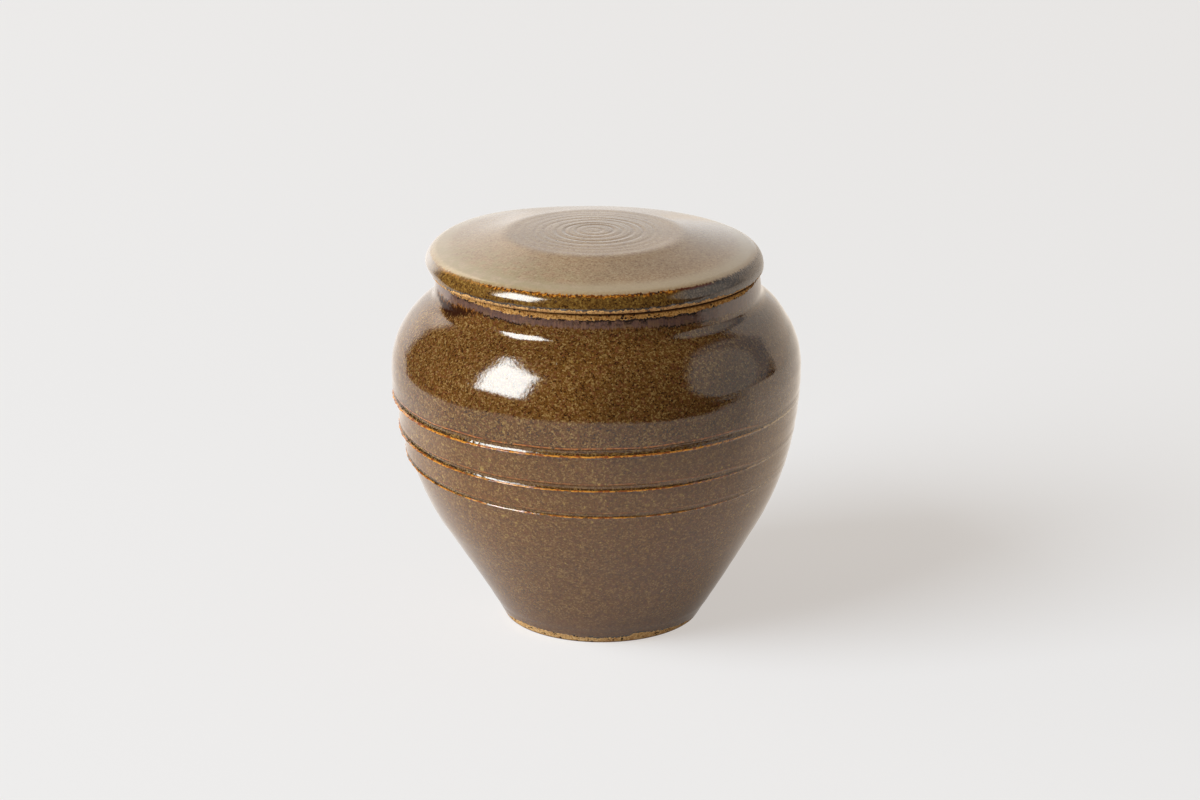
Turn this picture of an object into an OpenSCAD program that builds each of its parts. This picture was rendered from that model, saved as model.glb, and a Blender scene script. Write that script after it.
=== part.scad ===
// Lidded stoneware olive jar: a thrown jar and the lid that sits on its rim.
// Millimetres. +Z is up, the origin is the centre of the foot, on the table.

/* [Foot] */
// Diameter of the foot at the table
foot_d = 62.6; // [48:0.2:76]
// Rounding of the foot's outer edge
foot_round = 0.8; // [0.4:0.1:2]
// Width of the flat ring that the foot stands on
foot_ring = 6.3; // [4:0.1:12]
// Depth of the turned hollow under the foot
recess_depth = 1.2; // [0.4:0.1:3]
// Thickness of the floor inside the jar, from the table up
floor_top = 8; // [5:0.5:12]
// Rounding of the corner between floor and wall inside
floor_round = 10; // [3:0.5:16]

/* [Body] */
// Greatest diameter, at the belly
belly_d = 130; // [116:1:146]
// Height of the belly's widest line
belly_z = 83; // [74:1:96]
// Angle of the straight lower wall from the vertical, in degrees
flare_angle = 31; // [27:1:36]
// Radius of the shoulder's round
shoulder_r = 26; // [20:0.5:36]
// Thickness of the thrown wall
wall = 5.5; // [3.5:0.5:8]

/* [Neck] */
// Outer diameter of the short neck
neck_d = 102; // [92:1:108]
// Height of the neck above the shoulder's round
neck_h = 8.9; // [6:0.1:16]
// Thickness of the neck's wall, at the mouth
neck_wall = 5.5; // [3.5:0.5:8]
// Radius of the hollow between shoulder and neck
neck_fillet = 3; // [1:0.5:5]
// Rounding inside, where the mouth's bore runs into the shoulder
mouth_round = 3; // [1:0.5:5]
// Rounding of the rim's edges
rim_round = 0.9; // [0.4:0.1:1.6]

/* [Ridged grooves] */
// Drop of the upper ridge below the belly's widest line
upper_groove_drop = 8.2; // [5:0.1:11]
// Drop of the middle ridge below the belly's widest line
middle_groove_drop = 20.5; // [18:0.1:22]
// Drop of the lower ridge below the belly's widest line
lower_groove_drop = 30.3; // [29:0.1:36]
// Height of a groove's hollow above its ridge
groove_h = 2.4; // [1.4:0.1:3.2]
// Depth of the deepest groove's hollow
groove_depth = 0.5; // [0.2:0.1:1]
// How far the strongest ridge stands out of the wall
ridge_out = 0.4; // [0.1:0.1:0.8]
// How far the wall steps in under the strongest ridge
ridge_step = 0.5; // [0.1:0.1:1]

/* [Lid] */
// How far the lid's rim stands out beyond the neck
lid_overhang = 2.3; // [1:0.1:5]
// Radius of the roll at the lid's upper edge
lid_roll = 5.2; // [3:0.1:7]
// Radius of the roll at the lid's lower edge
lid_under_roll = 1.8; // [0.8:0.1:2.4]
// Slope of the lid's top, in degrees
lid_slope = 12.4; // [8:0.1:16]
// Diameter of the flatter middle of the lid's top
crown_d = 56; // [50:1:70]
// Rise of the flatter middle towards its centre
crown_rise = 0.6; // [0.2:0.1:2]
// Thickness of the lid's plate
lid_t = 6; // [4:0.5:7]

/* [Throwing rings] */
// Diameter of the ringed middle of the lid's top
rings_d = 43; // [20:1:48]
// Spacing of the rings
ring_pitch = 3.6; // [2.4:0.2:6]
// Height of a ring above the hollows beside it
ring_h = 0.3; // [0.1:0.05:0.6]

/* [Lid flange] */
// Drop of the locating flange into the mouth
flange_drop = 9; // [5:0.5:14]
// Thickness of the locating flange
flange_t = 5; // [3.5:0.5:7]
// Gap between the flange and the mouth, all round
flange_gap = 1.5; // [0.8:0.1:2.5]

/* [Hidden] */
$fn = 144;

// Share of the full groove form that the upper, middle and lower groove have
groove_share = [1, 0.8, 0.6];
// Length of wall under a ridge over which its step runs out
step_run = 5;
// Height of a ridge's crest over its foot, and of the slope from the crest into the hollow
crest_h = 0.5;
// Share of a groove's height at which its hollow runs out into the plain wall
hollow_share = 0.7;
// Width of the sloped side of the hollow under the foot
recess_side = 1;
// Rounding of the flange's lower edges
flange_round = 1.2;
// Steps in a large arc, in a small round and in one throwing ring
arc_steps = 16;
round_steps = 5;
ring_steps = 6;

foot_r = foot_d / 2;
belly_r = belly_d / 2;
neck_r = neck_d / 2;
mouth_r = neck_r - neck_wall;
// The lower wall is a straight cone that runs into one arc, which stands upright at the belly
cone_top_z = (belly_r - foot_r - belly_z * tan(flare_angle / 2)) / (tan(flare_angle) - tan(flare_angle / 2));
wall_arc_r = (belly_z - cone_top_z) / sin(flare_angle);
wall_arc_c = [belly_r - wall_arc_r, belly_z];
shoulder_c = [belly_r - shoulder_r, belly_z];
// Top of the jar's rim, where the lid sits
seat_z = belly_z + sqrt(pow(shoulder_r, 2) - pow(neck_r - shoulder_c[0], 2)) + neck_h;
lid_r = neck_r + lid_overhang;
flange_r = mouth_r - flange_gap;
flange_bottom_z = seat_z - flange_drop;
// Where the lid's roll runs into the sloped top
roll_c = [lid_r - lid_roll, seat_z + lid_under_roll];
slope_foot = roll_c + lid_roll * [sin(lid_slope), cos(lid_slope)];
crown_edge_z = lid_top_slope(crown_d / 2);

// Points of an arc about c, from angle a0 to a1
function arc(c, r, a0, a1, steps = arc_steps) =
    [for (i = [0 : steps]) c + r * [cos(a0 + (a1 - a0) * i / steps), sin(a0 + (a1 - a0) * i / steps)]];

// Radius of the plain outer wall, up to the belly
function wall_r(z) =
    z < cone_top_z
        ? foot_r + z * tan(flare_angle)
        : wall_arc_c[0] + sqrt(pow(wall_arc_r, 2) - pow(belly_z - z, 2));

// Points of the plain outer wall from height z0 to z1, without its last point
function wall_points(z0, z1, steps) =
    [for (i = [0 : steps - 1]) let (z = z0 + (z1 - z0) * i / steps) [wall_r(z), z]];

// One ridged groove from below: the wall steps in, the ridge stands out, and a hollow lies above it
function groove_points(z, share) = [
    [wall_r(z - step_run), z - step_run],
    [wall_r(z - crest_h) - ridge_step * share, z - crest_h],
    [wall_r(z) + ridge_out * share, z],
    [wall_r(z + crest_h) - groove_depth * share, z + crest_h],
    [wall_r(z + groove_h * hollow_share) - groove_depth * share, z + groove_h * hollow_share],
    [wall_r(z + groove_h), z + groove_h]
];

// Centre of a round between the shoulder's arc of radius arc_r and the upright line at line_r
function neck_round_c(arc_r, line_r, r) =
    [line_r + r, belly_z + sqrt(pow(arc_r + r, 2) - pow(line_r + r - shoulder_c[0], 2))];

// Angle at which that round meets the shoulder's arc
function neck_round_angle(arc_r, line_r, r) =
    let (d = neck_round_c(arc_r, line_r, r) - shoulder_c) atan2(d[1], d[0]);

// Height of the lid's top on its slope, and all over with its crown and rings
function lid_top_slope(r) = slope_foot[1] + (slope_foot[0] - r) * tan(lid_slope);
function ring_fade(r) = max(0, 1 - pow(2 * r / rings_d, 2));
function lid_top(r) =
    crown_edge_z + crown_rise * (1 - pow(2 * r / crown_d, 2)) + ring_h / 2 * ring_fade(r) * cos(360 * r / ring_pitch);

// Outside of the jar from the middle of the foot up to the outer edge of the rim
function jar_outside() =
    let (
        upper_z = belly_z - upper_groove_drop,
        middle_z = belly_z - middle_groove_drop,
        lower_z = belly_z - lower_groove_drop,
        cone_end_z = min(cone_top_z, lower_z - step_run - crest_h),
        fillet_c = neck_round_c(shoulder_r, neck_r, neck_fillet),
        fillet_a = neck_round_angle(shoulder_r, neck_r, neck_fillet)
    )
    concat(
        [[0, recess_depth], [foot_r - foot_ring - recess_side, recess_depth], [foot_r - foot_ring, 0]],
        arc([foot_r - foot_round * tan(45 - flare_angle / 2), foot_round], foot_round, -90, -flare_angle, round_steps),
        wall_points(cone_end_z, lower_z - step_run, round_steps),
        groove_points(lower_z, groove_share[2]),
        wall_points(lower_z + groove_h + crest_h, middle_z - step_run, 1),
        groove_points(middle_z, groove_share[1]),
        wall_points(middle_z + groove_h + crest_h, upper_z - step_run, 2),
        groove_points(upper_z, groove_share[0]),
        wall_points((upper_z + groove_h + belly_z) / 2, belly_z, 1),
        arc(shoulder_c, shoulder_r, 0, fillet_a),
        arc(fillet_c, neck_fillet, 180 + fillet_a, 180, round_steps),
        arc([neck_r - rim_round, seat_z - rim_round], rim_round, 0, 90, round_steps)
    );

// Inside of the jar from the inner edge of the rim down to the middle of the floor
function jar_inside() =
    let (
        inner_shoulder_r = shoulder_r - wall,
        round_c = neck_round_c(inner_shoulder_r, mouth_r, mouth_round),
        round_a = neck_round_angle(inner_shoulder_r, mouth_r, mouth_round),
        floor_c_z = floor_top + floor_round,
        floor_c_r = foot_r + floor_c_z * tan(flare_angle) - (wall + floor_round) / cos(flare_angle)
    )
    concat(
        arc([mouth_r + rim_round, seat_z - rim_round], rim_round, 90, 180, round_steps),
        arc(round_c, mouth_round, 180, 180 + round_a, round_steps),
        arc(shoulder_c, inner_shoulder_r, round_a, 0),
        arc(wall_arc_c, wall_arc_r - wall, -flare_angle / arc_steps, -flare_angle),
        arc([floor_c_r, floor_c_z], floor_round, -flare_angle, -90),
        [[0, floor_top]]
    );

module jar() {
    color([0.38, 0.28, 0.19])
        rotate_extrude()
            polygon(concat(jar_outside(), jar_inside()));
}

// Underside of the lid from its middle, round the flange and out along the seat
function lid_underside() =
    let (flange_inner_r = flange_r - flange_t)
    concat(
        [[0, crown_edge_z - lid_t], [crown_d / 2, crown_edge_z - lid_t]],
        [[flange_inner_r, lid_top_slope(flange_inner_r) - lid_t]],
        arc([flange_inner_r + flange_round, flange_bottom_z + flange_round], flange_round, 180, 270, round_steps),
        arc([flange_r - flange_round, flange_bottom_z + flange_round], flange_round, 270, 360, round_steps),
        [[flange_r, seat_z]]
    );

// Rolled edge and top of the lid, in to the middle
function lid_upper() =
    let (ring_step = ring_pitch / ring_steps, ring_count = floor(rings_d / 2 / ring_step))
    concat(
        arc([lid_r - lid_under_roll, seat_z + lid_under_roll], lid_under_roll, -90, 0, round_steps),
        arc(roll_c, lid_roll, 90 / arc_steps, 90 - lid_slope),
        [[crown_d / 2, crown_edge_z]],
        [for (i = [ring_count : -1 : 0]) [i * ring_step, lid_top(i * ring_step)]]
    );

module lid() {
    color([0.50, 0.43, 0.33])
        rotate_extrude()
            polygon(concat(lid_underside(), lid_upper()));
}

jar();
lid();
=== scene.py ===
import math

import bpy
import numpy as np
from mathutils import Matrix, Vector, noise


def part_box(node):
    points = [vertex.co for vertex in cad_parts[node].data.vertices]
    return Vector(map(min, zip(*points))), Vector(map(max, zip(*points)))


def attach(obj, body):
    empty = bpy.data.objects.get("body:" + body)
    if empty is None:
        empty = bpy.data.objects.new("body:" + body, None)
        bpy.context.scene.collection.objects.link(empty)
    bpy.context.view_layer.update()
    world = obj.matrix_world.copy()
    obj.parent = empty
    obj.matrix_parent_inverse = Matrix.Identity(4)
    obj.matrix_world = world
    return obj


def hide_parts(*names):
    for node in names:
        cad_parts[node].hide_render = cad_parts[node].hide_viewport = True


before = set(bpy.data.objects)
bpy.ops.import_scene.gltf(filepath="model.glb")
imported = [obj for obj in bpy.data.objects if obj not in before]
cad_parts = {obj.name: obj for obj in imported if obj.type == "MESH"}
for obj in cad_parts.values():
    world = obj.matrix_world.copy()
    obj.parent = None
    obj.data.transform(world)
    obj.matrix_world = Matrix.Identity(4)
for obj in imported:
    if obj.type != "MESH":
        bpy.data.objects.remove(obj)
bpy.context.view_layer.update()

# Sizes below are in millimetres, angles in degrees. Azimuth 0 is the front, which faces -Y,
# and azimuth 90 is the right, which faces +X.
MM = 0.001

# Turned form, with the same sizes as the CAD solids
SEAT_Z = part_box("jar")[1].z / MM
LID_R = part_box("lid")[1].x / MM
FLANGE_BOTTOM_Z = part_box("lid")[0].z / MM
FOOT_R = 31.3
FOOT_ROUND = 0.8
FOOT_RING = 6.3
RECESS_DEPTH = 1.2
RECESS_SIDE = 1.0
FLOOR_TOP = 8.0
FLOOR_ROUND = 10.0
BELLY_R = 65.0
BELLY_Z = 83.0
FLARE = 31.0
SHOULDER_R = 26.0
WALL = 5.5
NECK_R = 51.0
NECK_FILLET = 4.2
# The neck narrows by this angle towards the rim, from a little over the plain radius
NECK_TAPER = 6.0
NECK_FOOT_EXTRA = 0.35
MOUTH_R = 45.5
MOUTH_ROUND = 3.0
LID_ROLL = 5.2
LID_ROLL_RISE = 1.8
LID_SLOPE = 12.4
LID_T = 6.0
CROWN_R = 28.0
CROWN_RISE = 0.6
FLANGE_R = 44.0
FLANGE_T = 5.0
FLANGE_ROUND = 1.2

# Rounds of the rim, and the lid's lower edge, which is cut under so that a dark gap shows
RIM_OUTER_ROUND = 1.4
RIM_INNER_ROUND = 0.9
LID_EDGE_R = 0.9
LID_EDGE_RISE = 0.35
UNDERCUT_R = 49.0

# Sideways drift of the jar's middle with height, as the thrown jar stands a little askew
DRIFT_Z = (0, 10, 26, 46, 64, 80, 94, 106)
DRIFT_X = (1.65, 2.15, 1.5, 0.95, 0.3, -0.15, 0.3, 0.7)
drift = np.polynomial.Polynomial.fit(DRIFT_Z, DRIFT_X, 5)
LID_DRIFT = -0.65
# The mouth and the lid tip back a little, from this height up
TIP = 1.1
TIP_FROM_Z, TIP_FULL_Z = 94.0, 107.0
TIP_SINK = 0.35

# Ridged grooves from the lowest to the highest. front is the ridge's height at azimuth 0, dip is
# how much lower that is than at the sides, and climb is its rise from the front to the right.
# The wall below steps in by step at the left, and comes back over run. line, tail, dots and lip are
# the strengths of the ridge's bare line, the share of it left on the right, the dark pits there and
# the upper lip.
GROOVES = (
    dict(front=53.1, dip=2.2, climb=-0.65, width=1.9, depth=0.4, ridge=0.26, step=1.2, run=18.0, line=0.5, tail=0.5, dots=0.9, lip=0.3),
    dict(front=62.5, dip=1.5, climb=-0.45, width=2.4, depth=0.6, ridge=0.34, step=3.0, run=8.5, line=0.65, tail=0.4, dots=1.0, lip=0.55),
    dict(front=74.2, dip=0.8, climb=0.4, width=2.8, depth=0.8, ridge=0.4, step=2.3, run=13.0, line=1.0, tail=0.5, dots=0.0, lip=1.0),
)
# Azimuth where the grooves are cut deepest, and where they run out on the right
DEEP_SIDE = -70.0
STEP_SIDE = -95.0
FADE_FROM, FADE_TO = 36.0, 62.0
BACK_FROM, BACK_TO = 130.0, 200.0
CREST_FOOT = 0.45
# A groove sinks from its crest in two falls: the share of the depth, and the shares of the width
# where the fall starts and ends. The second one is at the slope that shows the softbox.
FALLS = ((0.6, 0.0, 0.19), (0.4, 0.14, 0.44))


def smooth(value, low, high):
    """0 below low, 1 above high and an S curve between."""
    t = np.clip((value - low) / (high - low), 0.0, 1.0)
    return t * t * (3 - 2 * t)


def hump(azimuth, centre, width):
    """1 at a centre azimuth, falling to 0 width degrees away from it, for azimuths in radians."""
    away = np.abs((np.degrees(azimuth) - centre + 180) % 360 - 180)
    return 1 - smooth(away, 0, width)


# Profiles. A point is (radius, height).


def line(a, b, step):
    """Points from a to b, without b, at most step apart."""
    a, b = np.array(a, float), np.array(b, float)
    count = max(1, math.ceil(np.linalg.norm(b - a) / step))
    return [a + (b - a) * i / count for i in range(count)]


def arc(centre, radius, start, end, step):
    """Points of an arc from angle start to angle end, without its end, at most step apart."""
    count = max(2, math.ceil(radius * math.radians(abs(end - start)) / step))
    angles = np.radians([start + (end - start) * i / count for i in range(count)])
    return [np.array((centre[0] + radius * math.cos(a), centre[1] + radius * math.sin(a))) for a in angles]


def neck_round(arc_r, line_r, radius):
    """Centre of the round between the shoulder's arc and the upright line at line_r, and its first angle."""
    x = line_r + radius
    z = BELLY_Z + math.sqrt((arc_r + radius) ** 2 - (x - SHOULDER_C[0]) ** 2)
    return (x, z), math.degrees(math.atan2(z - BELLY_Z, x - SHOULDER_C[0]))


_tan, _half = math.tan(math.radians(FLARE)), math.tan(math.radians(FLARE / 2))
CONE_TOP_Z = (BELLY_R - FOOT_R - BELLY_Z * _half) / (_tan - _half)
WALL_ARC_R = (BELLY_Z - CONE_TOP_Z) / math.sin(math.radians(FLARE))
WALL_ARC_X = BELLY_R - WALL_ARC_R
SHOULDER_C = (BELLY_R - SHOULDER_R, BELLY_Z)


def wall_r(z):
    """Radius of the plain outer wall, up to the belly."""
    round_r = WALL_ARC_X + np.sqrt(np.maximum(WALL_ARC_R ** 2 - (BELLY_Z - z) ** 2, 0))
    return np.where(z < CONE_TOP_Z, FOOT_R + z * _tan, round_r)


# The jar's rings of points


def azimuths(count):
    return np.radians(np.arange(count) * 360.0 / count)


def groove_share(azimuth):
    """How deeply the grooves are cut at an azimuth, from 0 to 1."""
    return 0.5 + 0.5 * np.cos(azimuth - math.radians(DEEP_SIDE))


def groove_fade(azimuth):
    """1 where the grooves are whole, and 0 on the right, where they run out."""
    turn = np.degrees(azimuth) % 360
    return 1 - smooth(turn, FADE_FROM, FADE_TO) * (1 - smooth(turn, BACK_FROM, BACK_TO))


def groove_shift(groove, azimuth):
    """Height of a groove's ridge at an azimuth, over its height at the front."""
    towards_front = np.cos(azimuth)
    softened = 0.62 * towards_front + 0.38 * np.sqrt(towards_front ** 2 + 0.08)
    return groove["dip"] * (1 - softened) + groove["climb"] * np.sin(azimuth)


def wander(azimuth, seed, size, strength):
    """Smooth noise round the jar, about size millimetres long at the belly."""
    k = BELLY_R / size
    points = [(k * math.cos(a), k * math.sin(a), seed * 7.31) for a in azimuth]
    return strength * np.array([noise.noise(Vector(p)) for p in points])


def wall_rows():
    """Heights of the rings on the outer wall, close together at the foot's edge and at the grooves."""
    heights = list(np.arange(0.4, 6.0, 0.5)) + list(np.arange(6.0, GROOVES[0]["front"] - 6.0, 2.2))
    for low, high in zip(GROOVES, GROOVES[1:] + (None,)):
        z = low["front"]
        heights += [z + u for u in (-5.0, -3.6, -2.4, -1.5, -1.0, -0.7)]
        heights += [z + u for u in np.arange(-0.5, 1.3, 0.12)]
        heights += [z + u for u in np.arange(1.45, low["width"] + 0.7, 0.23)]
        top = high["front"] - 5.6 if high else BELLY_Z - 0.8
        heights += list(np.arange(z + low["width"] + 1.3, top, 1.2))
    return np.array(sorted(h for h in heights if h < BELLY_Z))


def row_share(height, index):
    """How much of groove index's shift a ring at height takes: all near that groove, fading to the next."""
    z = GROOVES[index]["front"]
    below = GROOVES[index - 1]["front"] + 3.5 if index else z - 25
    above = GROOVES[index + 1]["front"] - 3.5 if index + 1 < len(GROOVES) else BELLY_Z
    return np.interp(height, (below, z - 3.5, z + 3.5, above), (0, 1, 1, 0))


# Height of the bare clay at the foot, and how far it reaches down from the seat at the rim, by azimuth
FOOT_CLAY = (
    (-180, 2.0), (-110, 0.8), (-68, 1.5), (-52, 3.0), (-40, 2.9), (-30, 2.75), (-20, 2.6), (-10, 2.25), (15.5, 2.2),
    (17, 3.35), (25, 3.2), (30, 2.9), (35, 2.5), (47, 2.1), (58, 1.6), (68, 0.9), (80, 0.0), (120, 0.3), (150, 1.6),
    (180, 2.0),
)
RIM_CLAY = (
    (-180, 2.0), (-120, 1.0), (-90, 0.9), (-75, 1.4), (-60, 1.6), (-50, 1.7), (-34, 2.3), (-18, 2.2), (20, 2.15),
    (34, 2.1), (48, 2.1), (61, 1.9), (70, 1.2), (80, 0.4), (120, 0.5), (160, 1.8), (180, 2.0),
)


def reach_at(azimuth, table):
    """Value of a table of (azimuth in degrees, value) at azimuths in radians."""
    turns, values = zip(*table)
    return np.interp((np.degrees(azimuth) + 180) % 360 - 180, turns, values)


def foot_reach(azimuth):
    """Height of the bare clay at the foot, which dips and steps round the jar."""
    return reach_at(azimuth, FOOT_CLAY) + wander(azimuth, 3, 12, 0.12) + wander(azimuth, 17, 3, 0.3)


def wall_rings(azimuth):
    """Outer wall of the jar: a (ring, azimuth) array each of radius, height and surface marks."""
    rows = wall_rows()[:, None]
    az = azimuth[None, :]
    height = rows + 0 * az
    for index, groove in enumerate(GROOVES):
        height = height + row_share(rows, index) * groove_shift(groove, az)
    radius = wall_r(height)
    share, fade = groove_share(azimuth), groove_fade(azimuth)
    none = 0 * height
    marks = dict(ridge_u=none + 1e3, lip_u=none + 1e3, ridge_line=none, ridge_dots=none, lip_line=none, channel=none)
    step_share = fade * (0.15 + 0.85 * hump(azimuth, STEP_SIDE, 90))
    for index, groove in enumerate(GROOVES):
        u = rows - groove["front"] + 0 * az
        cut = np.clip((0.25 + 0.75 * share) * fade + wander(azimuth, index, 9, 0.12) * (0.2 + 0.8 * fade), 0.02, 1.1)
        narrow = np.clip(0.4 + 0.6 * fade + wander(azimuth, index + 5, 14, 0.12), 0.35, 1.1)
        width = groove["width"] * narrow
        crisp = np.clip(1 + wander(azimuth, index + 9, 2.2, 0.9), 0.3, 1.4)
        ramp = np.clip(1 + u / groove["run"], 0, 1)
        rise = smooth(u, -CREST_FOOT, 0)
        back = sum(part * smooth(u, start * width, end * width) for part, start, end in FALLS)
        radius = radius - step_share * groove["step"] * ramp * (1 - rise)
        radius = radius + cut * crisp * groove["ridge"] * rise * (1 - back)
        hollow = back * (1 - smooth(u, 0.65 * width, width - 0.1))
        lip = 0.08 * groove["lip"] * np.exp(-((u - width) / 0.25) ** 2)
        radius = radius + cut * (lip - groove["depth"] * hollow)
        closer = np.abs(u) < np.abs(marks["ridge_u"])
        near = smooth(u, -3.5, -2.5) * (1 - smooth(u, groove["width"] + 0.8, groove["width"] + 1.8))
        strength = fade * (0.45 + 0.55 * share)
        kept = groove["tail"] + (1 - groove["tail"]) * strength
        found = dict(ridge_u=u, lip_u=u - width, ridge_line=groove["line"] * near * kept)
        found["ridge_dots"] = groove["dots"] * near * (1 - fade)
        found["lip_line"] = groove["lip"] * near * strength
        found["channel"] = hollow * np.clip(strength + 0.1, 0, 1)
        for mark, values in found.items():
            marks[mark] = np.where(closer, values, marks[mark])
    marks["clay_reach"] = foot_reach(azimuth)[None, :] - height
    marks["drop"] = SEAT_Z - height
    return radius, height, marks


JAR_MARKS = ("ridge_line", "ridge_dots", "lip_line", "channel")


def plain_rings(points, azimuth, clay_reach):
    """Rings with no grooves through profile points. clay_reach is how far the bare clay reaches past a point."""
    points = np.array(points)
    flat = 0 * azimuth[None, :]
    radius = points[:, :1] + flat
    height = points[:, 1:] + flat
    marks = {mark: 0 * height for mark in JAR_MARKS}
    marks.update(ridge_u=1e3 + 0 * height, lip_u=1e3 + 0 * height, drop=SEAT_Z - height)
    marks["clay_reach"] = clay_reach + 0 * height
    return radius, height, marks


def place(radius, azimuth, z, sideways):
    """Points in the frame, in metres, for turned sizes in millimetres: askew and tipped."""
    x = sideways + radius * np.sin(azimuth)
    y = -radius * np.cos(azimuth)
    share = smooth(z, TIP_FROM_Z, TIP_FULL_Z)
    tipped = z + share * (-y * math.tan(math.radians(TIP)) - TIP_SINK)
    return np.stack([x, y, tipped], axis=-1) * MM


def unevenness(azimuth, z):
    """Slight waves of a hand-turned surface, in millimetres outward."""
    wobble = 0.10 * np.cos(2 * azimuth + 0.6 + z / 40) + 0.05 * np.cos(3 * azimuth - z / 25)
    finger = 0.035 * np.sin(2 * np.pi * z / 5.3 + azimuth) + 0.02 * np.sin(2 * np.pi * z / 2.9 + 1)
    return wobble + finger - 0.2 * smooth(z, 50, 72)


def turned_mesh(name, blocks, sideways):
    """A closed mesh through blocks of rings, each (radius, height, marks, azimuth).

    A ring holds one point, or as many as its neighbour, or half or twice as many.
    """
    rings, marks = [], {}
    for radius, height, block_marks, azimuth in blocks:
        rings += list(place(radius, azimuth[None, :], height, sideways(height)))
        for mark, values in block_marks.items():
            marks.setdefault(mark, []).extend(list(values))
    starts = np.cumsum([0] + [len(r) for r in rings])
    faces = []
    for a, b, ra, rb in zip(starts, starts[1:], rings, rings[1:]):
        na, nb = len(ra), len(rb)
        if na == 1:
            faces += [(a, b + (i + 1) % nb, b + i) for i in range(nb)]
        elif nb == 1:
            faces += [(a + i, a + (i + 1) % na, b) for i in range(na)]
        elif na == nb:
            faces += [(a + i, a + (i + 1) % na, b + (i + 1) % na, b + i) for i in range(na)]
        elif na == 2 * nb:
            faces += [(a + 2 * i, a + 2 * i + 1, a + (2 * i + 2) % na, b + (i + 1) % nb, b + i) for i in range(nb)]
        else:
            faces += [(a + i, a + (i + 1) % na, b + (2 * i + 2) % nb, b + 2 * i + 1, b + 2 * i) for i in range(na)]
    mesh = bpy.data.meshes.new(name)
    mesh.from_pydata(np.concatenate(rings).tolist(), [], faces)
    for mark, values in marks.items():
        layer = mesh.attributes.new(mark, "FLOAT", "POINT")
        layer.data.foreach_set("value", np.concatenate(values).astype(np.float32))
    mesh.shade_smooth()
    mesh.validate()
    piece = bpy.data.objects.new(name, mesh)
    bpy.context.scene.collection.objects.link(piece)
    return piece


OUTER_SEGMENTS = 420
INNER_SEGMENTS = 210
FAR_FROM_CLAY = -9.0
ALL_CLAY = 3.0


def rim_reach(azimuth):
    """How far below the seat the rim's clay is bare."""
    return reach_at(azimuth, RIM_CLAY) + wander(azimuth, 8, 15, 0.2) + wander(azimuth, 18, 2.5, 0.25)


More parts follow.
